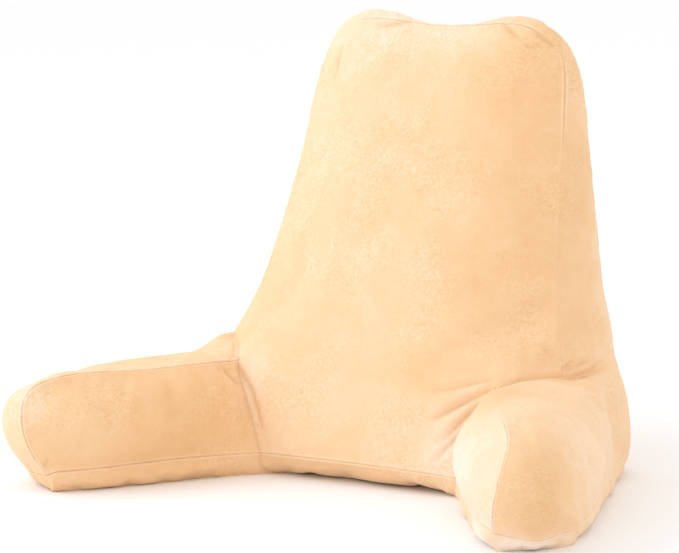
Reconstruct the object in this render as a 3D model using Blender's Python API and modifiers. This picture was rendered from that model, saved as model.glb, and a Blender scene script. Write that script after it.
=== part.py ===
"""A reading pillow: a leaning backrest with two splayed arms, filled firm.

The skin is one coarse cage, worked out from the tables below, that is smoothed by
Subdivision Surface until it passes through them. It is then parted along the two
sewn arm roots into three filled solids: the backrest and its two arms.
Metres, +Z up. The sitter faces -Y, the pillow stands on Z = 0.
"""

from collections import namedtuple
from math import cos, exp, pi, radians, sin

import bmesh
import bpy
from mathutils import Vector

MM = 0.001

# Driving dimensions, in millimetres
ARM_SPLAY = 39.0  # degrees between an arm's inner side and straight ahead
ARM_REACH = 324.0  # length of an arm's bottom seam, root to end
ARM_END_WIDTH = 118.0  # between the two seams of an arm's end
ARM_END_SKEW = 22.0  # how much sooner the outer side of an arm ends
BELLY_SHARE = 0.36  # the underside bulges most at this share of the bottom seam's height
FLOOR_INSET = 18.0  # the flat underside starts this far inside the bottom seams
ROOT_GAP = 0.3  # between an arm's solid and the backrest's

SMOOTHING = 2  # subdivision levels
SEAM_CREASE = 0.62
ROOT_CREASE = 0.45
OUTER_ROOT_CREASE = 0.1
FLOOR_CREASE = 1.0
SETTLE_ROUNDS = 8

# The backrest, a row for each height. front_* is on its centre line, edge_* on the
# edge of the front panel and rear_* on the rear side seam. Below the arms' tops the
# edge is the line where an arm is sewn to the front panel.
BackRow = namedtuple(
    "BackRow", "name front_y front_z edge_x edge_y edge_z rear_x rear_y rear_z back_y back_z"
)
BACK_ROWS = (
    BackRow("floor", 82, 0, 145, 20, 0, 254, 260, 0, 264, 0),
    BackRow("belly", 16, 12, 154, 3, 12, 276, 273, 12, 277, 12),
    BackRow("bottom_seam", -2, 34, 156, 0, 35, 284, 278, 38, 282, 38),
    BackRow("arm_middle", 17, 96, 184, 14, 98, 281, 284, 100, 294, 102),
    BackRow("arm_top", 49, 172, 265, 115, 165, 262, 283, 168, 300, 175),
    BackRow("hip", 90, 255, 240, 148, 245, 243, 284, 250, 303, 254),
    BackRow("waist", 130, 352, 222, 180, 342, 228, 282, 345, 302, 350),
    BackRow("chest", 168, 448, 209, 210, 436, 215, 280, 437, 299, 443),
    BackRow("shoulder", 202, 536, 199, 233, 524, 204, 281, 523, 294, 530),
    BackRow("top_seam", 250, 616, 185, 254, 585, 188, 285, 579, 288, 604),
)
SEAM_ROW = 2  # the row at the bottom seams
ARM_TOP = 4  # the row at the arms' tops
TOP = len(BACK_ROWS) - 1

# Lines between the centre and the edge of a panel, as shares of the half width
FRONT_SHARES = (0.0, 0.36, 0.68, 0.88)
REAR_SHARES = (0.0, 0.35, 0.66, 0.87)
FRONT_ROUNDING = 2.6  # how suddenly the front panel curves back towards its edge
REAR_ROUNDING = 3.0
GUSSET_CROWN = (0, 0, 0, 0, 17, 17, 16, 14, 9)  # of the side gusset, a value for each row

# The arm's root on the front panel and across its own top
INNER_TOP = (209, 30, 156)  # where the inner top seam of an arm meets the front panel
ROOT_RIDGE = (236, 72, 165)  # half way from there to the side seam

# The top of the backrest, between its ears: a row for each line, centre to corner
TopLine = namedtuple("TopLine", "x seam_z crest_y crest_z rear_z")
TOP_LINES = (
    TopLine(0, 617, 268, 617, 604),
    TopLine(66, 623, 269, 627, 611),
    TopLine(116, 627, 270, 636, 618),
    TopLine(156, 614, 271, 623, 607),
    TopLine(187, 585, 271, 590, 579),
)

# The arms, a row for each section from the root to the end. reach_* are shares of the
# inner and outer lengths, lean is how far the inner top seam stands outside the bottom
# one, inset the same for the outer seams, bow is how far the inner bottom seam bends
# out of its straight line, and *_z are heights.
ArmRow = namedtuple(
    "ArmRow",
    "name reach_in reach_out seam_z bow lean in_z crown inset out_z in_crown out_crown",
)
ARM_ROWS = (
    ArmRow("near_root", 0.23, 0.20, 35, 3, 46, 158, 7, 26, 151, 29, 5),
    ArmRow("upper", 0.41, 0.40, 35, 7, 40, 157, 10, 26, 142, 39, 15),
    ArmRow("middle", 0.60, 0.60, 33, 10, 34, 156, 12, 26, 134, 40, 21),
    ArmRow("lower", 0.78, 0.78, 30, 12, 29, 155, 11, 26, 127, 31, 20),
    ArmRow("near_end", 0.92, 0.92, 26, 7, 24, 148, 9, 26, 116, 18, 12),
    ArmRow("end", 1.00, 1.00, 20, 0, 13, 130, 6, 26, 98, 8, 0),
)
TOP_SHARES = (0.25, 0.5, 0.75)
# How far each line of the end stands past the end of the bottom seam, at the inner side,
# at the outer side, and how much more half way between them
EndRow = namedtuple("EndRow", "name inner outer crown")
END_ROWS = (
    EndRow("floor", -22, -18, 4),
    EndRow("belly", -15, -11, 13),
    EndRow("bottom", -11, -6, 16),
    EndRow("middle", 12, 18, 20),
    EndRow("top", 10, 16, 16),
)

# How the filling lies unevenly, a row for each full or slack place: its centre, how far
# it reaches and how it moves the skin there.
Lump = namedtuple("Lump", "name x y z reach push_x push_y push_z")
LUMPS = (
    Lump("left ear, front seam low", -112, 246, 620, 42, 0, -3, -5),
    Lump("left ear, full side", -188, 265, 585, 45, -3, 0, 0),
    Lump("slacker right ear", 116, 270, 630, 60, 2, 0, -3),
    Lump("right shoulder", 205, 260, 500, 110, 5, 0, 0),
    Lump("full left hip", -245, 150, 255, 110, -5, 0, 0),
    Lump("right hip, drawn in", 262, 270, 175, 100, -8, 0, 0),
    Lump("right arm's outer side, drawn in", 325, 190, 100, 70, -5, -3, 0),
    Lump("left arm root, filled out", -262, 125, 182, 45, -7, 0, 3),
    Lump("left arm, high behind its root", -288, 160, 160, 65, 0, 0, 7),
    Lump("right arm root, low", 266, 112, 168, 60, 0, 0, -4),
    Lump("left end of the bottom seam", -156, 0, 35, 60, 0, 0, -3),
    Lump("right end of the bottom seam", 156, 0, 35, 60, 0, 2, -5),
    Lump("right inner seam, tucked under", 270, -115, 20, 100, 2, 2, -9),
    Lump("right end, inner corner turned up", 352, -240, 20, 50, -3, 6, 9),
    Lump("right end, full and low", 398, -218, 20, 40, 0, 0, -6),
    Lump("right end, outer corner turned up", 426, -156, 18, 45, -8, 4, 5),
    Lump("left end, inner corner turned up", -352, -240, 20, 50, 4, 6, 4),
    Lump("full lumbar", 30, 100, 250, 120, 0, -7, 0),
    Lump("hollow under the ears", -30, 200, 520, 90, 0, 5, 0),
    Lump("full left chest", -90, 160, 420, 90, 0, -5, 0),
    Lump("full left arm end", -350, -230, 90, 90, -3, -4, 2),
    Lump("left arm end, high", -380, -190, 145, 75, 0, 0, 7),
    Lump("slack back", 40, 305, 330, 120, 0, -6, 0),
    Lump("full lower back", -60, 300, 140, 110, 0, 6, 0),
)

SKIN_COLOUR = (0.93, 0.72, 0.48, 1.0)
SKIN_ROUGHNESS = 0.9


def clear_scene():
    for thing in list(bpy.data.objects):
        bpy.data.objects.remove(thing, do_unlink=True)


def between(first, second, share):
    return Vector(first).lerp(Vector(second), share)


def arm_directions():
    """Unit vectors along the right arm's inner side and across to its outer side."""
    splay = radians(ARM_SPLAY)
    along = Vector((sin(splay), -cos(splay), 0))
    across = Vector((cos(splay), sin(splay), 0))
    return along, across


def backrest_points():
    """The right half of the backrest, by (line, row)."""
    points = {}
    for level, row in enumerate(BACK_ROWS):
        edge = Vector((row.edge_x, row.edge_y, row.edge_z))
        middle = Vector((0, row.front_y, row.front_z))
        if level < ARM_TOP:
            reach = FRONT_SHARES[2]
            shares = [share / reach for share in FRONT_SHARES[:2]]
            points["front_2", level] = edge
        else:
            shares = FRONT_SHARES
            points["edge", level] = edge
        for line, share in enumerate(shares):
            spot = middle.lerp(edge, share ** FRONT_ROUNDING)
            spot.x = edge.x * share
            points[f"front_{line}", level] = spot
        rear = Vector((row.rear_x, row.rear_y, row.rear_z))
        back = Vector((0, row.back_y, row.back_z))
        for line, share in enumerate(REAR_SHARES):
            spot = back.lerp(rear, share ** REAR_ROUNDING)
            spot.x = rear.x * share
            points[f"rear_{line}", level] = spot
        points["rear_edge", level] = rear
        if level >= ARM_TOP and level < TOP:
            side = edge.lerp(rear, 0.5)
            side.x += GUSSET_CROWN[level]
            points["side", level] = side
    points["front_2", ARM_TOP] = Vector(INNER_TOP)
    points["front_1", ARM_TOP] = between(points["front_0", ARM_TOP], INNER_TOP, 0.5)
    points["front_3", ARM_TOP] = Vector(ROOT_RIDGE)
    top = BACK_ROWS[TOP]
    for line, edge in enumerate(TOP_LINES[:-1]):
        points[f"front_{line}", TOP] = Vector((edge.x, top.front_y, edge.seam_z))
        points[f"crest_{line}", TOP] = Vector((edge.x, edge.crest_y, edge.crest_z))
        points[f"rear_{line}", TOP] = Vector((edge.x, top.back_y, edge.rear_z))
    corner = TOP_LINES[-1]
    points["side", TOP] = Vector((corner.x, corner.crest_y, corner.crest_z))
    return points


def arm_points():
    """The right arm past its root, by (line, section)."""
    points = {}
    along, across = arm_directions()
    seam_row = BACK_ROWS[SEAM_ROW]
    root_in = Vector((seam_row.edge_x, seam_row.edge_y, 0))
    root_out = Vector((seam_row.rear_x, seam_row.rear_y, 0))
    end_in = root_in + along * ARM_REACH
    end_out = end_in + across * ARM_END_WIDTH - along * ARM_END_SKEW
    for section, row in enumerate(ARM_ROWS):
        inner = root_in.lerp(end_in, row.reach_in)
        outer = root_out.lerp(end_out, row.reach_out)
        wide = (outer - inner).normalized()
        up = Vector((0, 0, 1))
        last = row.name == "end"
        for where, seam, inwards in (("in", inner, wide), ("out", outer, -wide)):
            lean = row.lean if where == "in" else row.inset
            crown = row.in_crown if where == "in" else row.out_crown
            top_z = row.in_z if where == "in" else row.out_z
            bow = -row.bow if where == "in" else 0
            foot = seam + inwards * bow
            points[f"{where}_floor", section] = foot + inwards * FLOOR_INSET
            points[f"{where}_belly", section] = foot + up * row.seam_z * BELLY_SHARE
            points[f"{where}_bottom", section] = foot + up * row.seam_z
            middle = seam + inwards * (lean / 2 - crown)
            points[f"{where}_middle", section] = middle + up * (row.seam_z + top_z) / 2
            points[f"{where}_top", section] = seam + inwards * lean + up * top_z
            if last:
                for line in END_ROWS:
                    past = line.inner if where == "in" else line.outer
                    points[f"{where}_{line.name}", section] += along * past
        in_top, out_top = points["in_top", section], points["out_top", section]
        for line, share in enumerate(TOP_SHARES, 1):
            rise = row.crown * sin(pi * share)
            push = END_ROWS[-1].crown * sin(pi * share) if last else 0
            points[f"top_{line}", section] = in_top.lerp(out_top, share) + up * rise + along * push
            if not last:
                continue
            for end in END_ROWS[:-1]:
                near, far = points[f"in_{end.name}", section], points[f"out_{end.name}", section]
                spot = near.lerp(far, share) + along * end.crown * sin(pi * share)
                points[f"end_{end.name}_{line}", section] = spot
    return points


def uneven(point):
    """The point as the filling pushes it; the flat underside stays flat."""
    moved = point.copy()
    for lump in LUMPS:
        distance = (point - Vector((lump.x, lump.y, lump.z))).length
        share = exp(-((distance / lump.reach) ** 2)) if point.z > 0 else 0
        moved += Vector((lump.push_x, lump.push_y, lump.push_z)) * share
    return moved


class Cage:
    """The coarse mesh of the whole skin, and where its smoothed surface has to pass."""

    def __init__(self):
        self.mesh = bmesh.new()
        self.spots = {}
        self.targets = []
        self.node = self.mesh.faces.layers.int.new("node")
        self.crease = self.mesh.edges.layers.float.new("crease_edge")

    def put(self, key, point, side):
        if key[0] in ("front_0", "rear_0", "crest_0"):
            side = 0
        spot = (side, *key)
        if spot not in self.spots:
            place = uneven(Vector((point.x * side, point.y, point.z))) * MM
            self.spots[spot] = self.mesh.verts.new(place)
            self.targets.append(place)

    def at(self, side, line, row):
        middle = line in ("front_0", "rear_0", "crest_0")
        return self.spots[(0 if middle else side, line, row)]

    def patch(self, side, keys, node):
        """A face whose corners go anticlockwise on the right half, seen from outside."""
        corners = [self.at(side, *key) for key in keys]
        face = self.mesh.faces.new(corners if side > 0 else corners[::-1])
        face[self.node] = node

    def seam(self, side, keys, sharpness):
        for first, second in zip(keys, keys[1:]):
            pair = (self.at(side, *first), self.at(side, *second))
            edge = self.mesh.edges.get(pair)
            edge[self.crease] = max(edge[self.crease], sharpness)


BACKREST, ARM_RIGHT, ARM_LEFT = 0, 1, 2
FRONT_LINES = ("front_0", "front_1", "front_2", "front_3", "edge")
REAR_LINES = ("rear_edge", "rear_3", "rear_2", "rear_1", "rear_0")
CREST_LINES = ("crest_0", "crest_1", "crest_2", "crest_3", "side")
RING = (
    "in_floor", "in_belly", "in_bottom", "in_middle", "in_top", "top_1", "top_2", "top_3",
    "out_top", "out_middle", "out_bottom", "out_belly", "out_floor",
)
# The backrest's own points that make an arm's root, in the order of RING
ROOT = (
    *(("front_2", row) for row in range(ARM_TOP + 1)),
    ("front_3", ARM_TOP), ("edge", ARM_TOP), ("side", ARM_TOP),
    *(("rear_edge", row) for row in reversed(range(ARM_TOP + 1))),
)


def grid(cage, side, rows, node):
    """Faces between neighbouring rows of keys, each row as long as the next."""
    for lower, upper in zip(rows, rows[1:]):
        for here in range(len(lower) - 1):
            keys = (lower[here], lower[here + 1], upper[here + 1], upper[here])
            cage.patch(side, keys, node)


def backrest_faces(cage, side):
    levels = range(TOP + 1)
    low_front = [[(line, level) for line in FRONT_LINES[:3]] for level in levels[: ARM_TOP + 1]]
    high_front = [[(line, level) for line in FRONT_LINES] for level in levels[ARM_TOP:]]
    gusset = [[("edge", n), ("side", n), ("rear_edge", n)] for n in levels[ARM_TOP:]]
    rear = [[(line, level) for line in REAR_LINES] for level in levels]
    front_top = [(line, TOP) for line in FRONT_LINES]
    crest = [(line, TOP) for line in CREST_LINES]
    rear_top = [(line, TOP) for line in reversed(REAR_LINES)]
    for rows in (low_front, high_front, gusset, rear, [front_top, crest, rear_top]):
        grid(cage, side, rows, BACKREST)
    cage.seam(side, [(line, 0) for line in FRONT_LINES[:3]], FLOOR_CREASE)
    cage.seam(side, [(line, 0) for line in REAR_LINES], FLOOR_CREASE)
    cage.seam(side, [(line, SEAM_ROW) for line in FRONT_LINES[:3]], SEAM_CREASE)
    cage.seam(side, [(line, SEAM_ROW) for line in REAR_LINES], SEAM_CREASE)
    cage.seam(side, [("edge", n) for n in levels[ARM_TOP:]], SEAM_CREASE)
    cage.seam(side, [("rear_edge", n) for n in levels[ARM_TOP:]], SEAM_CREASE)
    cage.seam(side, front_top, SEAM_CREASE)
    cage.seam(side, rear_top, SEAM_CREASE)


def arm_faces(cage, side, node):
    last = len(ARM_ROWS) - 1
    rings = [list(ROOT)] + [[(line, n) for line in RING] for n in range(last + 1)]
    for near, far in zip(rings, rings[1:]):
        for here in range(len(RING) - 1):
            cage.patch(side, (near[here + 1], near[here], far[here], far[here + 1]), node)
    for near, far in zip(rings[:-2], rings[1:-1]):
        cage.patch(side, (near[0], near[-1], far[-1], far[0]), node)
    floor = [("in_floor", last)] + [(f"end_floor_{n}", last) for n in (1, 2, 3)]
    floor += [("out_floor", last)]
    cage.patch(side, [("in_floor", last - 1), ("out_floor", last - 1)] + floor[::-1], node)
    ends = [floor]
    for name in ("belly", "bottom", "middle"):
        row = [(f"in_{name}", last)] + [(f"end_{name}_{n}", last) for n in (1, 2, 3)]
        ends.append(row + [(f"out_{name}", last)])
    ends.append([(line, last) for line in ("in_top", "top_1", "top_2", "top_3", "out_top")])
    grid(cage, side, ends, node)
    for line in ("in_floor", "out_floor"):
        cage.seam(side, [ring[RING.index(line)] for ring in rings], FLOOR_CREASE)
    for line in ("in_bottom", "out_bottom", "in_top"):
        cage.seam(side, [ring[RING.index(line)] for ring in rings], SEAM_CREASE)
    cage.seam(side, [(f"in_{line}", last) for line in ("bottom", "middle", "top")], SEAM_CREASE)
    cage.seam(side, ends[0], FLOOR_CREASE)
    cage.seam(side, ends[2], SEAM_CREASE)
    turn = ROOT.index(("side", ARM_TOP))
    cage.seam(side, ROOT[: turn + 1], ROOT_CREASE)
    cage.seam(side, ROOT[turn:], OUTER_ROOT_CREASE)


def build_cage():
    cage = Cage()
    back, arm = backrest_points(), arm_points()
    for side in (1, -1):
        for key, point in (*back.items(), *arm.items()):
            cage.put(key, point, side)
    for side, node in ((1, ARM_RIGHT), (-1, ARM_LEFT)):
        backrest_faces(cage, side)
        arm_faces(cage, side, node)
    right = [cage.at(1, line, 0) for line in FRONT_LINES[:3] + REAR_LINES]
    left = [cage.at(-1, line, 0) for line in FRONT_LINES[1:3] + REAR_LINES[:-1]]
    underside = cage.mesh.faces.new(left + right[::-1])
    underside[cage.node] = BACKREST
    return cage


def smoothed(cage):
    """The cage as an object, its corners moved until the smooth surface meets the tables."""
    mesh = bpy.data.meshes.new("skin")
    cage.mesh.to_mesh(mesh)
    skin = bpy.data.objects.new("skin", mesh)
    bpy.context.scene.collection.objects.link(skin)
    subdivision = skin.modifiers.new("smooth", "SUBSURF")
    subdivision.levels = SMOOTHING
    subdivision.render_levels = SMOOTHING
    for _ in range(SETTLE_ROUNDS):
        graph = bpy.context.evaluated_depsgraph_get()
        surface = skin.evaluated_get(graph).data
        for corner, target in zip(mesh.vertices, cage.targets):
            corner.co += target - surface.vertices[corner.index].co
        mesh.update()
        bpy.context.view_layer.update()
    graph = bpy.context.evaluated_depsgraph_get()
    fine = bpy.data.meshes.new_from_object(skin.evaluated_get(graph))
    bpy.data.objects.remove(skin, do_unlink=True)
    return fine


def part_of(fine, node, shift):
    """The faces of one solid, its open root closed by a fan and moved by half the gap."""
    shape = bmesh.new()
    shape.from_mesh(fine)
    layer = shape.faces.layers.int["node"]
    bmesh.ops.delete(shape, geom=[f for f in shape.faces if f[layer] != node], context="FACES")
    open_edges = [edge for edge in shape.edges if edge.is_boundary]
    for side in (1, -1):
        rim = [e for e in open_edges if e.verts[0].co.x * side > 0 and e.verts[1].co.x * side > 0]
        if not rim:
            continue
        corners = {corner for edge in rim for corner in edge.verts}
        for corner in corners:
            corner.co += Vector((shift.x * side, shift.y, 0))
        middle = sum((corner.co for corner in corners), Vector()) / len(corners)
        hub = shape.verts.new(middle)
        for edge in rim:
            shape.faces.new((*edge.verts, hub))
    bmesh.ops.recalc_face_normals(shape, faces=shape.faces)
    return shape


def velour(node):
    material = bpy.data.materials.new(f"{node}_velour")
    material.use_nodes = True
    shader = material.node_tree.nodes["Principled BSDF"]
    shader.inputs["Base Color"].default_value = SKIN_COLOUR
    shader.inputs["Roughness"].default_value = SKIN_ROUGHNESS
    shader.inputs["Metallic"].default_value = 0.0
    return material


def main():
    clear_scene()
    pillow = bpy.data.collections.new("reading_pillow")
    bpy.context.scene.collection.children.link(pillow)
    fine = smoothed(build_cage())
    along = arm_directions()[0]
    half_gap = along * ROOT_GAP / 2 * MM
    made = []
    for name, node, shift in (
        ("backrest", BACKREST, -half_gap),
        ("arm_right", ARM_RIGHT, half_gap),
        ("arm_left", ARM_LEFT, half_gap),
    ):
        shape = part_of(fine, node, shift)
        mesh = bpy.data.meshes.new(name)
        shape.to_mesh(mesh)
        shape.free()
        mesh.materials.append(velour(name))
        mesh.shade_smooth()
        solid = bpy.data.objects.new(name, mesh)
        pillow.objects.link(solid)
        made.append(solid)
    # The origin is under the middle of the whole pillow.
    corners = [corner.co for solid in made for corner in solid.data.vertices]
    middle_x = (min(c.x for c in corners) + max(c.x for c in corners)) / 2
    middle_y = (min(c.y for c in corners) + max(c.y for c in corners)) / 2
    for solid in made:
        for corner in solid.data.vertices:
            corner.co -= Vector((middle_x, middle_y, 0))


main()
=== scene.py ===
"""A reading pillow in peach velour: a leaning backrest with two ears and two splayed arms.

The skin is made once from tables of points, blown up against its seams by a cloth
simulation, creased, and then parted into the three filled pieces of the frame.
Metres in the frame, millimetres in the tables.
"""

from collections import namedtuple
from math import cos, exp, pi, radians, sin

import bmesh
import bpy
import numpy as np
from mathutils import Matrix, Vector, kdtree, noise


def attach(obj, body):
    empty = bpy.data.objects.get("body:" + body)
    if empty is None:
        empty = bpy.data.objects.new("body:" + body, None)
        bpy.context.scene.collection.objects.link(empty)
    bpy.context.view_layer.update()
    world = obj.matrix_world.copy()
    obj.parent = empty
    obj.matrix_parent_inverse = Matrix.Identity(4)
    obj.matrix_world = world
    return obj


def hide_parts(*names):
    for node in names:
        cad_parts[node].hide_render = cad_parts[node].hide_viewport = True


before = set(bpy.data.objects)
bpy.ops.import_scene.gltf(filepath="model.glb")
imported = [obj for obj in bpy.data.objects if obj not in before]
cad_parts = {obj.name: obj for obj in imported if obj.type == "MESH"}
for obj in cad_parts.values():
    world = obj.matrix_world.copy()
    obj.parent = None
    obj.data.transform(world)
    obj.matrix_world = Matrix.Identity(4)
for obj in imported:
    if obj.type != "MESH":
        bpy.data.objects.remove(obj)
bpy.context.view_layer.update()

# The velour skin: one closed cover of stretchy short-pile velour, cut as front, gusset,
# rear, base and arm panels and sewn edge to edge. The tables give points on the seams
# and at the fullest places between them; a coarse net through the points is smoothed.

MM = 0.001

# Driving dimensions, in millimetres
ARM_SPLAY = 39.0  # degrees between an arm's inner side and straight ahead
ARM_REACH = 324.0  # length of an arm's bottom seam, root to end
ARM_END_WIDTH = 118.0  # between the two seams of an arm's end
ARM_END_SKEW = 22.0  # how much sooner the outer side of an arm ends
BELLY_SHARE = 0.36  # the underside bulges most at this share of the bottom seam's height
FLOOR_INSET = 18.0  # the flat underside starts this far inside the bottom seams

SMOOTHING = 2  # subdivision levels
SEAM_CREASE = 0.62  # how sharply the skin turns over a seam, from 0 to 1
ROOT_CREASE = 0.45
OUTER_ROOT_CREASE = 0.1
FLOOR_CREASE = 1.0
SETTLE_ROUNDS = 8
PUFF_SMOOTHING = 3  # subdivision levels of the skin that the filling blows up

# The backrest, a row for each height. front_* is on its centre line, edge_* on the
# edge of the front panel and rear_* on the rear side seam. Below the arms' tops the
# edge is the line where an arm is sewn to the front panel.
BackRow = namedtuple(
    "BackRow", "name front_y front_z edge_x edge_y edge_z rear_x rear_y rear_z back_y back_z"
)
BACK_ROWS = (
    BackRow("floor", 82, 0, 145, 20, 0, 254, 260, 0, 264, 0),
    BackRow("belly", 16, 12, 154, 3, 12, 276, 273, 12, 277, 12),
    BackRow("bottom_seam", -2, 34, 156, 0, 35, 284, 278, 38, 282, 38),
    BackRow("arm_middle", 17, 96, 184, 14, 98, 281, 284, 100, 294, 102),
    BackRow("arm_top", 49, 172, 265, 115, 165, 262, 283, 168, 300, 175),
    BackRow("hip", 90, 255, 240, 148, 245, 243, 284, 250, 303, 254),
    BackRow("waist", 130, 352, 222, 180, 342, 228, 282, 345, 302, 350),
    BackRow("chest", 168, 448, 209, 210, 436, 215, 280, 437, 299, 443),
    BackRow("shoulder", 202, 536, 199, 233, 524, 204, 281, 523, 294, 530),
    BackRow("top_seam", 250, 616, 185, 254, 585, 188, 285, 579, 288, 604),
)
SEAM_ROW = 2  # the row at the bottom seams
ARM_TOP = 4  # the row at the arms' tops
TOP = len(BACK_ROWS) - 1

# Lines between the centre and the edge of a panel, as shares of the half width
FRONT_SHARES = (0.0, 0.36, 0.68, 0.88)
REAR_SHARES = (0.0, 0.35, 0.66, 0.87)
FRONT_ROUNDING = 2.6  # how suddenly the front panel curves back towards its edge
REAR_ROUNDING = 3.0
GUSSET_CROWN = (0, 0, 0, 0, 17, 17, 16, 14, 9)  # of the side gusset, a value for each row

# The arm's root on the front panel and across its own top
INNER_TOP = (209, 30, 156)  # where the inner top seam of an arm meets the front panel
ROOT_RIDGE = (236, 72, 165)  # half way from there to the side seam

# The top of the backrest, between its ears: a row for each line, centre to corner
TopLine = namedtuple("TopLine", "x seam_z crest_y crest_z rear_z")
TOP_LINES = (
    TopLine(0, 617, 268, 617, 604),
    TopLine(66, 623, 269, 627, 611),
    TopLine(116, 627, 270, 636, 618),
    TopLine(156, 614, 271, 623, 607),
    TopLine(187, 585, 271, 590, 579),
)

# The arms, a row for each section from the root to the end. reach_* are shares of the
# inner and outer lengths, lean is how far the inner top seam stands outside the bottom
# one, inset the same for the outer seams, bow is how far the inner bottom seam bends
# out of its straight line, and *_z are heights.
ArmRow = namedtuple(
    "ArmRow",
    "name reach_in reach_out seam_z bow lean in_z crown inset out_z in_crown out_crown",
)
ARM_ROWS = (
    ArmRow("near_root", 0.23, 0.20, 35, 3, 46, 158, 7, 26, 151, 29, 5),
    ArmRow("upper", 0.41, 0.40, 35, 7, 40, 157, 10, 26, 142, 39, 15),
    ArmRow("middle", 0.60, 0.60, 33, 10, 34, 156, 12, 26, 134, 40, 21),
    ArmRow("lower", 0.78, 0.78, 30, 12, 29, 155, 11, 26, 127, 31, 20),
    ArmRow("near_end", 0.92, 0.92, 26, 7, 24, 148, 9, 26, 116, 18, 12),
    ArmRow("end", 1.00, 1.00, 20, 0, 13, 130, 6, 26, 98, 8, 0),
)
TOP_SHARES = (0.25, 0.5, 0.75)
# How far each line of the end stands past the end of the bottom seam, at the inner side,
# at the outer side, and how much more half way between them
EndRow = namedtuple("EndRow", "name inner outer crown")
END_ROWS = (
    EndRow("floor", -22, -18, 4),
    EndRow("belly", -15, -11, 13),
    EndRow("bottom", -11, -6, 16),
    EndRow("middle", 12, 18, 20),
    EndRow("top", 10, 16, 16),
)

# How the filling lies unevenly, a row for each full or slack place: its centre, how far
# it reaches and how it moves the skin there.
Lump = namedtuple("Lump", "name x y z reach push_x push_y push_z")
LUMPS = (
    Lump("left ear, front seam low", -112, 246, 620, 42, 0, -3, -5),
    Lump("left ear, full side", -188, 265, 585, 45, -3, 0, 0),
    Lump("slacker right ear", 116, 270, 630, 60, 2, 0, -3),
    Lump("right shoulder", 205, 260, 500, 110, 5, 0, 0),
    Lump("full left hip", -245, 150, 255, 110, -5, 0, 0),
    Lump("right hip, drawn in", 262, 270, 175, 100, -8, 0, 0),
    Lump("right arm's outer side, drawn in", 325, 190, 100, 70, -5, -3, 0),
    Lump("left arm root, filled out", -262, 125, 182, 45, -7, 0, 3),
    Lump("left arm, high behind its root", -288, 160, 160, 65, 0, 0, 7),
    Lump("right arm root, low", 266, 112, 168, 60, 0, 0, -4),
    Lump("left end of the bottom seam", -156, 0, 35, 60, 0, 0, -3),
    Lump("right end of the bottom seam", 156, 0, 35, 60, 0, 2, -5),
    Lump("right inner seam, tucked under", 270, -115, 20, 100, 2, 2, -9),
    Lump("right end, inner corner turned up", 352, -240, 20, 50, -3, 6, 9),
    Lump("right end, full and low", 398, -218, 20, 40, 0, 0, -6),
    Lump("right end, outer corner turned up", 426, -156, 18, 45, -8, 4, 5),
    Lump("left end, inner corner turned up", -352, -240, 20, 50, 4, 6, 4),
    Lump("full lumbar", 30, 100, 250, 120, 0, -7, 0),
    Lump("hollow under the ears", -30, 200, 520, 90, 0, 5, 0),
    Lump("full left chest", -90, 160, 420, 90, 0, -5, 0),
    Lump("full left arm end", -350, -230, 90, 90, -3, -4, 2),
    Lump("left arm end, high", -380, -190, 145, 75, 0, 0, 7),
    Lump("slack back", 40, 305, 330, 120, 0, -6, 0),
    Lump("full lower back", -60, 300, 140, 110, 0, 6, 0),
)


def between(first, second, share):
    return Vector(first).lerp(Vector(second), share)


def arm_directions():
    """Unit vectors along the right arm's inner side and across to its outer side."""
    splay = radians(ARM_SPLAY)
    along = Vector((sin(splay), -cos(splay), 0))
    across = Vector((cos(splay), sin(splay), 0))
    return along, across


def backrest_points():
    """The right half of the backrest, by (line, row)."""
    points = {}
    for level, row in enumerate(BACK_ROWS):
        edge = Vector((row.edge_x, row.edge_y, row.edge_z))
        middle = Vector((0, row.front_y, row.front_z))
        if level < ARM_TOP:
            reach = FRONT_SHARES[2]
            shares = [share / reach for share in FRONT_SHARES[:2]]
            points["front_2", level] = edge
        else:
            shares = FRONT_SHARES
            points["edge", level] = edge
        for line, share in enumerate(shares):
            spot = middle.lerp(edge, share ** FRONT_ROUNDING)
            spot.x = edge.x * share
            points[f"front_{line}", level] = spot
        rear = Vector((row.rear_x, row.rear_y, row.rear_z))
        back = Vector((0, row.back_y, row.back_z))
        for line, share in enumerate(REAR_SHARES):
            spot = back.lerp(rear, share ** REAR_ROUNDING)
            spot.x = rear.x * share
            points[f"rear_{line}", level] = spot
        points["rear_edge", level] = rear
        if level >= ARM_TOP and level < TOP:
            side = edge.lerp(rear, 0.5)
            side.x += GUSSET_CROWN[level]
            points["side", level] = side
    points["front_2", ARM_TOP] = Vector(INNER_TOP)
    points["front_1", ARM_TOP] = between(points["front_0", ARM_TOP], INNER_TOP, 0.5)
    points["front_3", ARM_TOP] = Vector(ROOT_RIDGE)
    top = BACK_ROWS[TOP]
    for line, edge in enumerate(TOP_LINES[:-1]):
        points[f"front_{line}", TOP] = Vector((edge.x, top.front_y, edge.seam_z))
        points[f"crest_{line}", TOP] = Vector((edge.x, edge.crest_y, edge.crest_z))
        points[f"rear_{line}", TOP] = Vector((edge.x, top.back_y, edge.rear_z))
    corner = TOP_LINES[-1]
    points["side", TOP] = Vector((corner.x, corner.crest_y, corner.crest_z))
    return points


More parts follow.
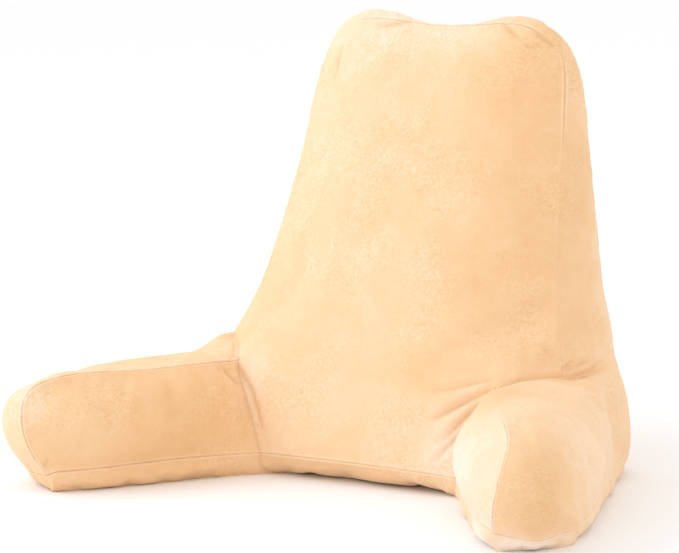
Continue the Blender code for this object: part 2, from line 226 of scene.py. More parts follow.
def arm_points():
    """The right arm past its root, by (line, section)."""
    points = {}
    along, across = arm_directions()
    seam_row = BACK_ROWS[SEAM_ROW]
    root_in = Vector((seam_row.edge_x, seam_row.edge_y, 0))
    root_out = Vector((seam_row.rear_x, seam_row.rear_y, 0))
    end_in = root_in + along * ARM_REACH
    end_out = end_in + across * ARM_END_WIDTH - along * ARM_END_SKEW
    for section, row in enumerate(ARM_ROWS):
        inner = root_in.lerp(end_in, row.reach_in)
        outer = root_out.lerp(end_out, row.reach_out)
        wide = (outer - inner).normalized()
        up = Vector((0, 0, 1))
        last = row.name == "end"
        for where, seam, inwards in (("in", inner, wide), ("out", outer, -wide)):
            lean = row.lean if where == "in" else row.inset
            crown = row.in_crown if where == "in" else row.out_crown
            top_z = row.in_z if where == "in" else row.out_z
            bow = -row.bow if where == "in" else 0
            foot = seam + inwards * bow
            points[f"{where}_floor", section] = foot + inwards * FLOOR_INSET
            points[f"{where}_belly", section] = foot + up * row.seam_z * BELLY_SHARE
            points[f"{where}_bottom", section] = foot + up * row.seam_z
            middle = seam + inwards * (lean / 2 - crown)
            points[f"{where}_middle", section] = middle + up * (row.seam_z + top_z) / 2
            points[f"{where}_top", section] = seam + inwards * lean + up * top_z
            if last:
                for line in END_ROWS:
                    past = line.inner if where == "in" else line.outer
                    points[f"{where}_{line.name}", section] += along * past
        in_top, out_top = points["in_top", section], points["out_top", section]
        for line, share in enumerate(TOP_SHARES, 1):
            rise = row.crown * sin(pi * share)
            push = END_ROWS[-1].crown * sin(pi * share) if last else 0
            points[f"top_{line}", section] = in_top.lerp(out_top, share) + up * rise + along * push
            if not last:
                continue
            for end in END_ROWS[:-1]:
                near, far = points[f"in_{end.name}", section], points[f"out_{end.name}", section]
                spot = near.lerp(far, share) + along * end.crown * sin(pi * share)
                points[f"end_{end.name}_{line}", section] = spot
    return points


def uneven(point):
    """The point as the filling pushes it; the flat underside stays flat."""
    moved = point.copy()
    for lump in LUMPS:
        distance = (point - Vector((lump.x, lump.y, lump.z))).length
        share = exp(-((distance / lump.reach) ** 2)) if point.z > 0 else 0
        moved += Vector((lump.push_x, lump.push_y, lump.push_z)) * share
    return moved


# The coarse net: which piece and panel a face belongs to, what kind of seam an edge is,
# and the lines of points that run up the backrest and along an arm.
BACKREST, ARM_RIGHT, ARM_LEFT = 0, 1, 2
PANELS = ("base", "front", "gusset", "rear", "inner", "wrap")
PANEL, ARM_ROOT, OUTER_ROOT = 1, 2, 3
MIDDLE_LINES = ("front_0", "rear_0", "crest_0")
FRONT_LINES = ("front_0", "front_1", "front_2", "front_3", "edge")
REAR_LINES = ("rear_edge", "rear_3", "rear_2", "rear_1", "rear_0")
CREST_LINES = ("crest_0", "crest_1", "crest_2", "crest_3", "side")
RING = (
    "in_floor", "in_belly", "in_bottom", "in_middle", "in_top", "top_1", "top_2", "top_3",
    "out_top", "out_middle", "out_bottom", "out_belly", "out_floor",
)
# The backrest's own points that make an arm's root, in the order of RING
ROOT = (
    *(("front_2", row) for row in range(ARM_TOP + 1)),
    ("front_3", ARM_TOP), ("edge", ARM_TOP), ("side", ARM_TOP),
    *(("rear_edge", row) for row in reversed(range(ARM_TOP + 1))),
)


class Cage:
    """The coarse mesh of the whole skin, and where its smoothed surface has to pass."""

    def __init__(self):
        self.mesh = bmesh.new()
        self.spots = {}
        self.targets = []
        self.node = self.mesh.faces.layers.int.new("node")
        self.panel = self.mesh.faces.layers.int.new("panel")
        self.crease = self.mesh.edges.layers.float.new("crease_edge")
        self.sewn = self.mesh.edges.layers.int.new("sewn")

    def put(self, key, point, side):
        if key[0] in MIDDLE_LINES:
            side = 0
        spot = (side, *key)
        if spot not in self.spots:
            target = uneven(Vector((point.x * side, point.y, point.z))) * MM
            self.spots[spot] = self.mesh.verts.new(target)
            self.targets.append(target)

    def at(self, side, line, row):
        return self.spots[(0 if line in MIDDLE_LINES else side, line, row)]

    def patch(self, side, keys, node, panel):
        """A face whose corners go anticlockwise on the right half, seen from outside."""
        corners = [self.at(side, *key) for key in keys]
        face = self.mesh.faces.new(corners if side > 0 else corners[::-1])
        face[self.node] = node
        face[self.panel] = PANELS.index(panel)

    def seam(self, side, keys, sharpness, kind=0):
        for first, second in zip(keys, keys[1:]):
            pair = (self.at(side, *first), self.at(side, *second))
            edge = self.mesh.edges.get(pair)
            edge[self.crease] = max(edge[self.crease], sharpness)
            edge[self.sewn] = max(edge[self.sewn], kind)


def grid(cage, side, rows, node, panel, base_rows=0):
    """Faces between neighbouring rows of keys; the first rows of some belong to the base."""
    for step, (lower, upper) in enumerate(zip(rows, rows[1:])):
        cut = "base" if step < base_rows else panel
        for here in range(len(lower) - 1):
            keys = (lower[here], lower[here + 1], upper[here + 1], upper[here])
            cage.patch(side, keys, node, cut)


def backrest_faces(cage, side):
    levels = range(TOP + 1)
    low_front = [[(line, level) for line in FRONT_LINES[:3]] for level in levels[: ARM_TOP + 1]]
    high_front = [[(line, level) for line in FRONT_LINES] for level in levels[ARM_TOP:]]
    gusset = [[("edge", n), ("side", n), ("rear_edge", n)] for n in levels[ARM_TOP:]]
    rear = [[(line, level) for line in REAR_LINES] for level in levels]
    front_top = [(line, TOP) for line in FRONT_LINES]
    crest = [(line, TOP) for line in CREST_LINES]
    rear_top = [(line, TOP) for line in reversed(REAR_LINES)]
    grid(cage, side, low_front, BACKREST, "front", SEAM_ROW)
    grid(cage, side, high_front, BACKREST, "front")
    grid(cage, side, gusset, BACKREST, "gusset")
    grid(cage, side, rear, BACKREST, "rear", SEAM_ROW)
    grid(cage, side, [front_top, crest, rear_top], BACKREST, "gusset")
    cage.seam(side, [(line, 0) for line in FRONT_LINES[:3]], FLOOR_CREASE)
    cage.seam(side, [(line, 0) for line in REAR_LINES], FLOOR_CREASE)
    cage.seam(side, [(line, SEAM_ROW) for line in FRONT_LINES[:3]], SEAM_CREASE, PANEL)
    cage.seam(side, [(line, SEAM_ROW) for line in REAR_LINES], SEAM_CREASE, PANEL)
    cage.seam(side, [("edge", n) for n in levels[ARM_TOP:]], SEAM_CREASE, PANEL)
    cage.seam(side, [("rear_edge", n) for n in levels[ARM_TOP:]], SEAM_CREASE, PANEL)
    cage.seam(side, front_top, SEAM_CREASE, PANEL)
    cage.seam(side, rear_top, SEAM_CREASE, PANEL)


def arm_faces(cage, side, node):
    last = len(ARM_ROWS) - 1
    rings = [list(ROOT)] + [[(line, n) for line in RING] for n in range(last + 1)]
    panels = ["base"] * 2 + ["inner"] * 2 + ["wrap"] * 6 + ["base"] * 2
    for near, far in zip(rings, rings[1:]):
        for here, panel in enumerate(panels):
            keys = (near[here + 1], near[here], far[here], far[here + 1])
            cage.patch(side, keys, node, panel)
    for near, far in zip(rings[:-2], rings[1:-1]):
        cage.patch(side, (near[0], near[-1], far[-1], far[0]), node, "base")
    floor = [("in_floor", last)] + [(f"end_floor_{n}", last) for n in (1, 2, 3)]
    floor += [("out_floor", last)]
    cage.patch(side, [("in_floor", last - 1), ("out_floor", last - 1)] + floor[::-1], node, "base")
    ends = [floor]
    for name in ("belly", "bottom", "middle"):
        row = [(f"in_{name}", last)] + [(f"end_{name}_{n}", last) for n in (1, 2, 3)]
        ends.append(row + [(f"out_{name}", last)])
    ends.append([(line, last) for line in ("in_top", "top_1", "top_2", "top_3", "out_top")])
    grid(cage, side, ends, node, "wrap", SEAM_ROW)
    for line in ("in_floor", "out_floor"):
        cage.seam(side, [ring[RING.index(line)] for ring in rings], FLOOR_CREASE)
    for line in ("in_bottom", "out_bottom", "in_top"):
        cage.seam(side, [ring[RING.index(line)] for ring in rings], SEAM_CREASE, PANEL)
    upright = [(f"in_{line}", last) for line in ("bottom", "middle", "top")]
    cage.seam(side, upright, SEAM_CREASE, PANEL)
    cage.seam(side, ends[0], FLOOR_CREASE)
    cage.seam(side, ends[2], SEAM_CREASE, PANEL)
    turn = ROOT.index(("side", ARM_TOP))
    cage.seam(side, ROOT[: turn + 1], ROOT_CREASE, ARM_ROOT)
    cage.seam(side, ROOT[turn:], OUTER_ROOT_CREASE, OUTER_ROOT)


def build_cage():
    cage = Cage()
    back, arm = backrest_points(), arm_points()
    for side in (1, -1):
        for key, point in (*back.items(), *arm.items()):
            cage.put(key, point, side)
    for side, node in ((1, ARM_RIGHT), (-1, ARM_LEFT)):
        backrest_faces(cage, side)
        arm_faces(cage, side, node)
    right = [cage.at(1, line, 0) for line in FRONT_LINES[:3] + REAR_LINES]
    left = [cage.at(-1, line, 0) for line in FRONT_LINES[1:3] + REAR_LINES[:-1]]
    underside = cage.mesh.faces.new(left + right[::-1])
    underside[cage.node] = BACKREST
    return cage


def smoothed(cage):
    """The cage as an object, its corners moved until the smooth surface meets the tables."""
    mesh = bpy.data.meshes.new("skin")
    cage.mesh.to_mesh(mesh)
    skin = bpy.data.objects.new("skin", mesh)
    bpy.context.scene.collection.objects.link(skin)
    subdivision = skin.modifiers.new("smooth", "SUBSURF")
    subdivision.levels = SMOOTHING
    subdivision.render_levels = SMOOTHING
    for _ in range(SETTLE_ROUNDS):
        graph = bpy.context.evaluated_depsgraph_get()
        surface = skin.evaluated_get(graph).data
        for corner, target in zip(mesh.vertices, cage.targets):
            corner.co += target - surface.vertices[corner.index].co
        mesh.update()
        bpy.context.view_layer.update()
    subdivision.levels = PUFF_SMOOTHING
    subdivision.render_levels = PUFF_SMOOTHING
    graph = bpy.context.evaluated_depsgraph_get()
    fine = bpy.data.meshes.new_from_object(skin.evaluated_get(graph))
    bpy.data.objects.remove(skin, do_unlink=True)
    return fine


def net_to_skin():
    """The smoothed skin as an object, with its box centred on the frame's origin."""
    cage = build_cage()
    fine = smoothed(cage)
    skin = bpy.data.objects.new("skin", fine)
    bpy.context.scene.collection.objects.link(skin)
    points = positions(fine)
    low, high = points.min(0), points.max(0)
    points[:, :2] -= (low + high)[:2] / 2
    place(fine, points)
    return skin


def positions(mesh):
    flat = np.empty(len(mesh.vertices) * 3)
    mesh.vertices.foreach_get("co", flat)
    return flat.reshape(-1, 3)


def place(mesh, points):
    mesh.vertices.foreach_set("co", points.ravel())
    mesh.update()


SEAM_STEP = 0.0015
EVERY_SEAM = (PANEL, ARM_ROOT, OUTER_ROOT)


def seam_tree(mesh, kinds):
    """A search tree over points close together along the seams of these kinds."""
    sewn = mesh.attributes["sewn"].data
    spots = []
    for edge in mesh.edges:
        if sewn[edge.index].value in kinds:
            first, second = (mesh.vertices[corner].co for corner in edge.vertices)
            steps = max(1, round((first - second).length / SEAM_STEP))
            spots += [first.lerp(second, step / steps) for step in range(steps)]
    tree = kdtree.KDTree(len(spots))
    for index, spot in enumerate(spots):
        tree.insert(spot, index)
    tree.balance()
    return tree


# The filling: loose stuffing that blows each panel up between its seams. Every panel is
# cut a little longer than its seams, so that it puckers where it is eased into them.
PUFF_FRAMES = 16
PUFF_PRESSURE = 4.0
EASE = 0.035  # share by which a panel is longer than its seams
CROWN_MOST = 0.0065
CROWN_REACH = 0.03
FLAT_BELOW = 0.0005  # the underside, which lies flat on what carries it


def puffed(skin):
    """The skin blown up by its filling, held at the seams and on the flat underside."""
    rest = positions(skin.data)
    tree = seam_tree(skin.data, EVERY_SEAM)
    far = np.array([tree.find(corner.co)[2] for corner in skin.data.vertices])
    held = np.nonzero((far < SEAM_STEP) | (rest[:, 2] < FLAT_BELOW))[0]
    sewn = skin.vertex_groups.new(name="sewn")
    sewn.add([int(index) for index in held], 1.0, "REPLACE")
    cloth = skin.modifiers.new("puff", "CLOTH")
    settings = cloth.settings
    settings.vertex_group_mass = "sewn"
    settings.use_pressure = True
    settings.uniform_pressure_force = PUFF_PRESSURE
    settings.effector_weights.gravity = 0
    settings.quality = 5
    settings.mass = 0.3
    settings.tension_stiffness = 15
    settings.compression_stiffness = 15
    settings.shear_stiffness = 5
    settings.bending_stiffness = 0.5
    settings.shrink_min = -EASE
    cloth.collision_settings.use_collision = False
    cloth.collision_settings.use_self_collision = False
    cloth.point_cache.frame_start = 1
    cloth.point_cache.frame_end = PUFF_FRAMES
    for step in range(1, PUFF_FRAMES + 1):
        bpy.context.scene.frame_set(step)
    graph = bpy.context.evaluated_depsgraph_get()
    moved = positions(skin.evaluated_get(graph).data) - rest
    length = np.linalg.norm(moved, axis=1) + 1e-9
    limit = CROWN_MOST * (1 - np.exp(-far / CROWN_REACH)) + 1e-6
    moved *= (limit * np.tanh(length / limit) / length)[:, None]
    moved[held] = 0
    skin.modifiers.remove(cloth)
    bpy.context.scene.frame_set(1)
    place(skin.data, rest + moved)


SEAM_BAND = 0.012
SEAM_CUTS = 3


def finer(skin):
    """One more smooth subdivision, then three cuts more in the narrow bands along the seams."""
    subdivision = skin.modifiers.new("finer", "SUBSURF")
    subdivision.levels = 1
    subdivision.render_levels = 1
    graph = bpy.context.evaluated_depsgraph_get()
    fine = bpy.data.meshes.new_from_object(skin.evaluated_get(graph))
    skin.modifiers.remove(subdivision)
    tree = seam_tree(fine, EVERY_SEAM)
    band = bmesh.new()
    band.from_mesh(fine)
    near = {c.index for c in band.verts if tree.find(c.co)[2] < SEAM_BAND and c.co.z > FLAT_BELOW}
    edges = [e for e in band.edges if e.verts[0].index in near and e.verts[1].index in near]
    bmesh.ops.subdivide_edges(band, edges=edges, cuts=SEAM_CUTS, use_grid_fill=True)
    band.to_mesh(fine)
    band.free()
    skin.data = fine


# Folds that the filling leaves, in the frame's millimetres: each is a valley from one
# place to the other with a low ridge along both its sides, and it runs out at its ends.
Fold = namedtuple("Fold", "name x1 y1 z1 x2 y2 z2 width depth")
FOLDS = (
    Fold("over the right arm's top, far left", 109, 8, 140, 151, 11, 148, 6, 1.4),
    Fold("over the right arm's top, left", 145, 10, 147, 200, 21, 166, 5, 3.2),
    Fold("right hip, long", 266, 102, 168, 278, 157, 175, 5, 2.0),
    Fold("right hip, short", 264, 97, 170, 268, 123, 180, 4, 1.4),
    Fold("right gusset seam over the arm", 258, 100, 182, 300, 34, 160, 4, 0.7),
    Fold("right root, upper", 205, 12, 156, 117, -2, 103, 6, 5.2),
    Fold("right root, middle", 186, 5, 134, 133, -6, 76, 5, 4.8),
    Fold("right root, lower", 168, 2, 100, 128, -12, 52, 5, 4.2),
    Fold("left root, upper", -214, -24, 150, -197, -6, 124, 6, 3.2),
    Fold("left root, beside it", -206, 7, 146, -178, 0, 112, 5, 2.6),
    Fold("left root, lower", -182, 2, 116, -157, -10, 66, 5, 2.6),
    Fold("left of the lap", -156, 6, 132, -144, -4, 92, 6, 0.8),
    Fold("left arm's end, pucker", -349, -267, 38, -343, -265, 52, 4, 1.2),
    Fold("right ear, long", 140, 219, 596, 180, 250, 588, 5, 3.4),
    Fold("right ear, short", 151, 229, 613, 172, 232, 600, 5, 3.0),
    Fold("right ear, inner", 101, 230, 621, 130, 222, 604, 5, 3.0),
    Fold("left ear, along the seam", -100, 222, 612, -54, 234, 617, 5, 2.8),
    Fold("left ear, front", -145, 224, 602, -106, 214, 587, 7, 1.1),
    Fold("left ear, side", -156, 219, 578, -158, 203, 534, 6, 2.2),
    Fold("right of the lap", 167, 96, 259, 236, 125, 244, 9, 1.0),
    Fold("right arm's top, first", 273, -42, 164, 341, -96, 157, 4, 0.6),
    Fold("right arm's top, second", 282, -80, 161, 349, -136, 156, 4, 0.6),
)
SHARP_FROM = 1.1  # a fold deeper than this gets a painted line of shade along its bottom
HEIGHT_IGNORED = 0.85  # share of the skin's height over a fold's line that is set aside
END_FADE = 0.0012  # how much the painted crease line thins towards its ends
FAR_OFF = 0.02  # well clear of any crease

# Where a seam sinks into the pile and the tones of its two panels run together
Hidden = namedtuple("Hidden", "name x y z reach")
HIDDEN = (
    Hidden("left ear's corner", -165, 245, 605, 50),
    Hidden("right ear's corner", 180, 250, 600, 40),
    Hidden("right side seam, hip", 245, 140, 230, 75),
    Hidden("right side seam, waist", 225, 160, 300, 110),
    Hidden("right arm's outer bottom seam", 400, 60, 30, 150),
    Hidden("right side seam, chest", 214, 200, 400, 90),
    Hidden("top of the right arm's inner panel", 240, -10, 155, 75),
    Hidden("top of the right arm's inner seam", 292, -92, 155, 92),
    Hidden("right arm's inner bottom seam", 318, -195, 20, 52),
)

# What sewing does to the skin up close, in metres: puckers, a ridge along both sides of
# a seam with a groove between them, and the deeper pull of the filling along a root.
PUCKER_RISE = 0.0006
PUCKER_OUT = 0.005
RIDGE_RISE = 0.0007
RIDGE_OUT = 0.0026
RIDGE_WIDE = 0.0013
GROOVE_DEPTH = 0.0011
GROOVE_WIDE = 0.0010
HIDDEN_RELIEF = 0.25  # share of a seam's relief that is left where the pile hides it
ROOT_PUCKER_RISE = 0.0009
ROOT_PUCKER_OUT = 0.01
ROOT_DEPTH = 0.0022
ROOT_WIDE = 0.005
SEAM_REACH = 0.03
ROOT_REACH = 0.05
FILLING_RISE = 0.0018
FILLING_SIZE = 0.085
LUMPY_RISE = 0.0009
LUMPY_SIZE = 0.034
LUMPY_SHIFT = (3, 1, 2)  # keeps the small bumps out of step with the large ones
PUCKER_SHIFT = (5, 5, 5)


def bumps(point, size, shift=(0, 0, 0)):
    return noise.noise((point + Vector(shift)) / size)


def puckers(seam, small, large):
    return bumps(seam, small) + 0.7 * bumps(seam, large, PUCKER_SHIFT)


def swell(far, out):
    """0 on the seam, 1 at this distance out from it, and dying away past that."""
    return (far / out) * exp(1 - far / out)


def seam_rise(seam, far):
    rise = PUCKER_RISE * puckers(seam, 0.009, 0.018) * swell(far, PUCKER_OUT)
    rise += RIDGE_RISE * exp(-(((far - RIDGE_OUT) / RIDGE_WIDE) ** 2))
    return rise - GROOVE_DEPTH * exp(-((far / GROOVE_WIDE) ** 2))


def root_rise(root, far):
    rise = ROOT_PUCKER_RISE * puckers(root, 0.012, 0.03) * swell(far, ROOT_PUCKER_OUT)
    return rise - ROOT_DEPTH * exp(-((far / ROOT_WIDE) ** 2))


def folded(points, normals):
    """How deep the folds press each point in, and how far it is from the nearest crease."""
    pressed = np.zeros(len(points))
    nearest = np.full(len(points), FAR_OFF)
    for fold in FOLDS:
        start = np.array((fold.x1, fold.y1, fold.z1)) * MM
        line = np.array((fold.x2, fold.y2, fold.z2)) * MM - start
        along = np.clip((points - start) @ line / (line @ line), 0, 1)
        away = points - start - along[:, None] * line
        away -= HEIGHT_IGNORED * normals * (away * normals).sum(1)[:, None]
        distance = np.linalg.norm(away, axis=1)
        far = distance / (fold.width * MM)
        runs_out = np.sin(pi * (0.15 + 0.7 * along))
        pressed += fold.depth * MM * runs_out * (1.3 - 0.8 * far**2) * np.exp(-(far**2) / 1.5)
        if fold.depth > SHARP_FROM:
            nearest = np.minimum(nearest, distance + END_FADE * (2 * along - 1) ** 4)
    return pressed, nearest


def hidden_share(points):
    """How much the pile hides the seam at each of the points, from 0 to 1."""
    share = np.zeros(len(points))
    for spot in HIDDEN:
        far = np.linalg.norm(points / MM - np.array((spot.x, spot.y, spot.z)), axis=1)
        share = np.maximum(share, np.exp(-((far / spot.reach) ** 4)))
    return share


def shaped(skin):
    """The skin with its relief, and with what the velour has to know at each point of it."""
    mesh = skin.data
    panel_tree = seam_tree(mesh, (PANEL,))
    root_tree = seam_tree(mesh, (ARM_ROOT,))
    points = positions(mesh)
    normals = np.empty(len(points) * 3)
    mesh.vertex_normals.foreach_get("vector", normals)
    normals = normals.reshape(-1, 3)
    hidden = hidden_share(points)
    rise, shows, seam_far, root_far = np.zeros((4, len(points)))
    for index, corner in enumerate(mesh.vertices):
        spot = corner.co
        seam, _, far = panel_tree.find(spot)
        root, _, root_away = root_tree.find(spot)
        seam_far[index] = far
        root_far[index] = root_away
        soft = 1 - exp(-min(far, root_away) / SEAM_REACH)
        rise[index] = FILLING_RISE * soft * bumps(spot, FILLING_SIZE)
        rise[index] += LUMPY_RISE * soft * bumps(spot, LUMPY_SIZE, LUMPY_SHIFT)
        if far < SEAM_REACH:
            shows[index] = 1 - hidden[index]
            shown = HIDDEN_RELIEF + (1 - HIDDEN_RELIEF) * shows[index]
            rise[index] += seam_rise(seam, far) * shown
        if root_away < ROOT_REACH:
            rise[index] += root_rise(root, root_away)
    pressed, crease_far = folded(points, normals)
    rise -= pressed
    keep = points[:, 2] > FLAT_BELOW
    points[keep] += (normals * rise[:, None])[keep]
    points[:, 2] = np.maximum(points[:, 2], 0)
    place(mesh, points)
    fields = {
        "seam_far": seam_far,
        "root_far": root_far,
        "crease_far": crease_far,
        "shows": shows,
        "pressed": pressed,
    }
    for name, values in fields.items():
        attribute = mesh.attributes.new(name, "FLOAT", "POINT")
        attribute.data.foreach_set("value", values.astype(np.float32))


# The pile's tones: paler or deeper on each panel and in each listed place. They are partly how the
# pile lies and partly painted light: painted sheen where a side faces the light, as on the right
# arm's inner panel, and painted shade where it is turned away, as on the left arm's inner panel
# and the right arm's end. Tones go from -1, deepest, to 1, palest.
PANEL_PILE_AND_PAINTED_LIGHT = {
    (BACKREST, "base"): -0.25,
    (BACKREST, "gusset"): 0.15,
    (ARM_RIGHT, "inner"): 0.4,
    (ARM_RIGHT, "base"): 0.1,
    (ARM_LEFT, "inner"): -0.25,
    (ARM_LEFT, "base"): -0.25,
}
Nap = namedtuple("Nap", "name x y z reach_x reach_y reach_z tone")
PILE_AND_PAINTED_LIGHT_PLACES = (
    Nap("left ear", -120, 240, 610, 90, 80, 60, 0.4),
    Nap("front panel, under the top seam", 15, 230, 615, 70, 50, 32, 0.45),
    Nap("left chest", -170, 180, 480, 90, 120, 130, 0.15),
    Nap("right of the front panel", 185, 180, 360, 100, 200, 280, -0.4),
    Nap("lap", 40, 20, 120, 150, 90, 90, 0.12),
    Nap("left arm's inner panel, near end", -330, -190, 90, 60, 60, 70, 0.15),
    Nap("left arm's inner panel, middle", -262, -110, 85, 75, 80, 60, -0.55),
    Nap("left arm's inner panel, by its end", -367, -266, 125, 26, 30, 36, 0.6),
    Nap("left arm's end", -420, -230, 80, 60, 70, 70, 0.3),
    Nap("right arm's inner panel", 262, -130, 80, 75, 95, 85, 0.65),
    Nap("right arm's inner panel, near its top", 250, -45, 160, 50, 60, 34, -0.55),
    Nap("right side of the lap", 140, -6, 64, 42, 45, 55, 0.75),
    Nap("beside the left arm's root", -185, 0, 125, 35, 40, 45, 0.45),
    Nap("under the right ear", 140, 198, 548, 50, 45, 50, -0.4),
    Nap("above the right side of the lap", 85, 18, 163, 55, 40, 28, -0.5),
    Nap("above the right arm's root", 172, 8, 140, 22, 30, 24, 0.35),
    Nap("right arm's end, under its seam", 398, -225, 9, 48, 50, 17, 1.0),
    Nap("right arm's end, outer corner", 434, -215, 45, 26, 34, 40, 0.35),
    Nap("right arm's end", 405, -220, 75, 32, 50, 60, -1.15),
    Nap("right arm's end, by the seam", 372, -245, 60, 22, 22, 80, 0.4),
    Nap("right arm's inner panel, low", 318, -205, 12, 36, 45, 32, 1.1),
    Nap("right arm's outer side", 430, 40, 70, 90, 190, 100, 0.5),
    Nap("right side of the backrest", 250, 250, 300, 40, 60, 200, 0.25),
)


def pile_and_painted_light_tones(points, faces):
    """Each face's tone from its panel and nearby listed places: how the pile lies, with painted
    sheen and shade.
    """
    tone = np.array([PANEL_PILE_AND_PAINTED_LIGHT.get((node, PANELS[panel]), 0.0) for node, panel in faces])
    tone *= 1 - hidden_share(points)
    for nap in PILE_AND_PAINTED_LIGHT_PLACES:
        reach = np.array((nap.reach_x, nap.reach_y, nap.reach_z)) * MM
        far = (points - np.array((nap.x, nap.y, nap.z)) * MM) / reach
        tone += nap.tone * np.exp(-(far**2).sum(1))
    return tone


def store_pile_and_painted_light(mesh):
    """The pile's tone, with its painted sheen and painted shade, as an attribute of the mesh's
    faces.
    """
    middles = np.empty(len(mesh.polygons) * 3)
    mesh.polygons.foreach_get("center", middles)
    layers = []
    for name in ("node", "panel"):
        values = np.empty(len(mesh.polygons), dtype=np.int32)
        mesh.attributes[name].data.foreach_get("value", values)
        layers.append(values.tolist())
    tone = pile_and_painted_light_tones(middles.reshape(-1, 3), list(zip(*layers)))
    attribute = mesh.attributes.new("nap", "FLOAT", "FACE")
    attribute.data.foreach_set("value", tone.astype(np.float32))


def piece_of(skin, node, name, shift):
    """One filled piece of the skin, closed at its sewn root and moved by half the gap."""
    shape = bmesh.new()
    shape.from_mesh(skin.data)
    layer = shape.faces.layers.int["node"]
    bmesh.ops.delete(shape, geom=[f for f in shape.faces if f[layer] != node], context="FACES")
    open_edges = [edge for edge in shape.edges if edge.is_boundary]
    for side in (1, -1):
        rim = [e for e in open_edges if e.verts[0].co.x * side > 0 and e.verts[1].co.x * side > 0]
        if not rim:
            continue
        corners = {corner for edge in rim for corner in edge.verts}
        for corner in corners:
            corner.co += Vector((shift.x * side, shift.y, 0))
        middle = sum((corner.co for corner in corners), Vector()) / len(corners)
        hub = shape.verts.new(middle)
        for edge in rim:
            shape.faces.new((*edge.verts, hub))
    bmesh.ops.recalc_face_normals(shape, faces=shape.faces)
    mesh = bpy.data.meshes.new(name)
    shape.to_mesh(mesh)
    shape.free()
    mesh.shade_smooth()
    piece = bpy.data.objects.new(name, mesh)
    bpy.context.scene.collection.objects.link(piece)
    return piece


skin = net_to_skin()
puffed(skin)
finer(skin)
shaped(skin)
store_pile_and_painted_light(skin.data)


# The velour: one stretchy peach cloth with a short pile, the same on every panel. Its colour
# follows how the pile lies, with painted sheen and shade in it, and painted shade deepens it in
# seams, folds and sewn roots.


class Wire:
    """A socket in a material's tree, so that its sums read as plain Python."""

    def __init__(self, tree, socket=None):
        self.tree = tree
        self.socket = socket

    def node(self, kind, settings=(), sockets=(), output=0):
        made = self.tree.nodes.new(kind)
        for name, value in dict(settings).items():
            if name == "stops":
                ramp = made.color_ramp
                while len(ramp.elements) < len(value):
                    ramp.elements.new(0.5)
                for element, (share, colour) in zip(ramp.elements, value):
                    element.position = share
                    element.color = colour
            else:
                setattr(made, name, value)
        for name, value in dict(sockets).items():
            if isinstance(value, Wire):
                self.tree.links.new(value.socket, made.inputs[name])
            else:
                made.inputs[name].default_value = value
        return Wire(self.tree, made.outputs[output])

    def worked(self, operation, first, second):
        return self.node("ShaderNodeMath", {"operation": operation}, {0: first, 1: second})

    def __add__(self, other):
        return self.worked("ADD", self, other)

    def __radd__(self, other):
        return self.worked("ADD", other, self)

    def __sub__(self, other):
        return self.worked("SUBTRACT", self, other)

    def __rsub__(self, other):
        return self.worked("SUBTRACT", other, self)

    def __mul__(self, other):
        return self.worked("MULTIPLY", self, other)

    def __rmul__(self, other):
        return self.worked("MULTIPLY", other, self)

    def smooth(self, low, high):
        """0 below low, 1 above high and smooth between them."""
        settings = {"interpolation_type": "SMOOTHSTEP"}
        sockets = {"Value": self, "From Min": low, "From Max": high}
        return self.node("ShaderNodeMapRange", settings, sockets)

    def mixed(self, first, second):
        """One colour where this is 0 and another where it is 1."""
        sockets = {0: self, 6: first, 7: second}
        return self.node("ShaderNodeMix", {"data_type": "RGBA"}, sockets, output=2)


# From the pile's deepest tone to its palest
PEACH = (
    (0.0, (0.77, 0.45, 0.21, 1.0)),
    (0.25, (0.84, 0.52, 0.267, 1.0)),
    (0.5, (0.895, 0.595, 0.345, 1.0)),
    (0.75, (0.93, 0.69, 0.485, 1.0)),
    (1.0, (0.95, 0.80, 0.68, 1.0)),
)
# The deep colour that painted shade mixes in, in folds, seam grooves and sewn roots
PEACH_SHADE = (0.55, 0.30, 0.13, 1.0)
PEACH_GLOSS = (1.0, 0.9, 0.76, 1.0)


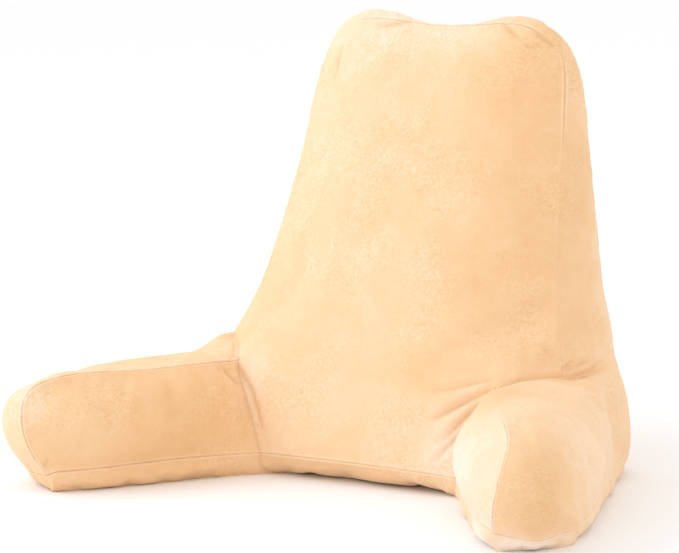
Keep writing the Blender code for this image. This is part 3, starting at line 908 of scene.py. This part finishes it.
def velour(name):
    """Short peach pile: mottled, with painted highlights on seam ridges and painted shade in
    folds, seams and roots.
    """
    material = bpy.data.materials.new(name)
    material.use_nodes = True
    tree = material.node_tree
    shader = tree.nodes["Principled BSDF"]
    wire = Wire(tree)
    spot = wire.node("ShaderNodeTexCoord", output=3)
    height = wire.node("ShaderNodeSeparateXYZ", {}, {"Vector": spot}, output=2)

    def field(attribute):
        return wire.node("ShaderNodeAttribute", {"attribute_name": attribute}, output=2)

    def cloud(size, detail=2.0, warp=0.0):
        sockets = {"Vector": spot, "Scale": 1 / size, "Detail": detail, "Distortion": warp}
        return wire.node("ShaderNodeTexNoise", {}, sockets)

    patch = cloud(0.06, 2.0, 0.6)
    blotch = cloud(0.016, 2.0, 0.4)
    pile = cloud(0.0042, 1.0, 0.8)
    fuzz = cloud(0.0019, 1.0)
    crushed = cloud(0.09, 1.0).smooth(0.42, 0.62) * 0.75 + 0.25
    grain = ((pile - 0.5) * 1.3 + (fuzz - 0.5) * 0.8) * crushed
    mottle = (patch - 0.5) * 0.6 + (blotch - 0.5) * 0.35 + grain
    # Painted shade: the tone deepens where the folds press in, on top of the pile's tones with
    # their painted sheen and shade
    tone = (field("nap") + mottle - field("pressed") * 38) * 0.5 + 0.5
    colour = wire.node("ShaderNodeValToRGB", {"stops": PEACH}, {0: tone})

    seam, shows = field("seam_far"), field("shows")
    # Painted highlight: the low ridges beside a seam are paler
    ridge = seam.smooth(0.0008, 0.0018) * (1 - seam.smooth(0.0026, 0.0045)) * shows
    colour = (ridge * 0.25).mixed(colour, PEACH[-1][1])
    # Painted shade: a dark line along the bottom of each deep fold
    fold_crease_shade = 1 - field("crease_far").smooth(0.0, 0.0046)
    colour = (fold_crease_shade * 0.24).mixed(colour, PEACH_SHADE)
    # Painted shade in the seam grooves, shown less dark for the seams down by the floor than for
    # those higher up
    seam_groove_shade = (1 - seam.smooth(0.0002, 0.0011)) * shows * (height.smooth(0.04, 0.07) * 0.27 + 0.15)
    colour = seam_groove_shade.mixed(colour, PEACH_SHADE)
    # Painted shade along the sewn roots of the arms
    root_seam_shade = 1 - field("root_far").smooth(0.0005, 0.006)
    colour = (root_seam_shade * 0.12).mixed(colour, PEACH_SHADE)

    relief = (fuzz * 0.4 + pile * 0.6) * crushed
    bump = wire.node("ShaderNodeBump", {}, {"Strength": 0.5, "Distance": 0.001, "Height": relief})
    tree.links.new(colour.socket, shader.inputs["Base Color"])
    tree.links.new(bump.socket, shader.inputs["Normal"])
    shader.inputs["Roughness"].default_value = 0.9
    shader.inputs["Specular IOR Level"].default_value = 0.2
    shader.inputs["Sheen Weight"].default_value = 0.35
    shader.inputs["Sheen Roughness"].default_value = 0.45
    shader.inputs["Sheen Tint"].default_value = PEACH_GLOSS
    return material


# The three filled pieces: the backrest and the two arms that are sewn on at their roots.
# Each is its part of the skin, closed where the real covers are sewn to one another.
TOUCHING = 0.05  # millimetres between the pieces at the sewn roots
half_gap = arm_directions()[0] * TOUCHING / 2 * MM
for name, node, node_name, shift in (
    ("backrest_cushion", BACKREST, "backrest", -half_gap),
    ("right_arm_cushion", ARM_RIGHT, "arm_right", half_gap),
    ("left_arm_cushion", ARM_LEFT, "arm_left", half_gap),
):
    cushion = piece_of(skin, node, name, shift)
    cushion.data.materials.clear()
    cushion.data.materials.append(velour(f"velour_{node_name}"))
    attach(cushion, "root")
    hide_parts(node_name)
bpy.data.objects.remove(skin, do_unlink=True)

# The studio: a plain pale floor, a white surround and one soft light to the camera's left.
# Turns and lifts are degrees from straight in front of the pillow.
FLOOR_HALF_WIDTH = 40
SURROUND_STRENGTH = 1.06
KEY_TURN = -60
KEY_LIFT = 30
KEY_AWAY = 3.0
CAMERA_TURN = 31.6
CAMERA_LIFT = 9.8
CAMERA_ROLL = -0.6
CAMERA_AWAY = 5.2
AIM = Vector((-0.0223, -0.0175, 0.2936))  # what the camera and the light point at

floor_mesh = bpy.data.meshes.new("floor")
floor_shape = bmesh.new()
bmesh.ops.create_grid(floor_shape, x_segments=1, y_segments=1, size=FLOOR_HALF_WIDTH)
floor_shape.to_mesh(floor_mesh)
floor_shape.free()
floor = bpy.data.objects.new("floor", floor_mesh)
bpy.context.scene.collection.objects.link(floor)
pale = bpy.data.materials.new("pale_floor")
pale.use_nodes = True
pale.node_tree.nodes["Principled BSDF"].inputs["Base Color"].default_value = (0.93, 0.93, 0.93, 1)
pale.node_tree.nodes["Principled BSDF"].inputs["Roughness"].default_value = 0.9
floor_mesh.materials.append(pale)

world = bpy.data.worlds.new("studio")
world.use_nodes = True
world.node_tree.nodes["Background"].inputs["Color"].default_value = (1, 1, 1, 1)
world.node_tree.nodes["Background"].inputs["Strength"].default_value = SURROUND_STRENGTH
bpy.context.scene.world = world


def towards(turn, lift):
    """The unit vector from the pillow towards something turned and lifted."""
    turn, lift = radians(turn), radians(lift)
    return Vector((sin(turn) * cos(lift), -cos(turn) * cos(lift), sin(lift)))


def stand(thing, turn, lift, away):
    """Put a light or a camera in its place and return the way that it then faces."""
    thing.location = AIM + towards(turn, lift) * away
    bpy.context.scene.collection.objects.link(thing)
    return (thing.location - AIM).to_track_quat("Z", "Y")


key_data = bpy.data.lights.new("key", "AREA")
key_data.size = 2.0
key_data.energy = 34
key_data.color = (0.75, 0.85, 1.0)
key = bpy.data.objects.new("key", key_data)
key.rotation_euler = stand(key, KEY_TURN, KEY_LIFT, KEY_AWAY).to_euler()

camera_data = bpy.data.cameras.new("camera")
camera_data.lens = 200.7
camera_data.sensor_width = 36
camera_data.clip_end = 50
camera = bpy.data.objects.new("camera", camera_data)
level = stand(camera, CAMERA_TURN, CAMERA_LIFT, CAMERA_AWAY).to_matrix()
camera.rotation_euler = (level @ Matrix.Rotation(radians(CAMERA_ROLL), 3, "Z")).to_euler()
bpy.context.scene.camera = camera
bpy.context.scene.view_settings.view_transform = "Standard"
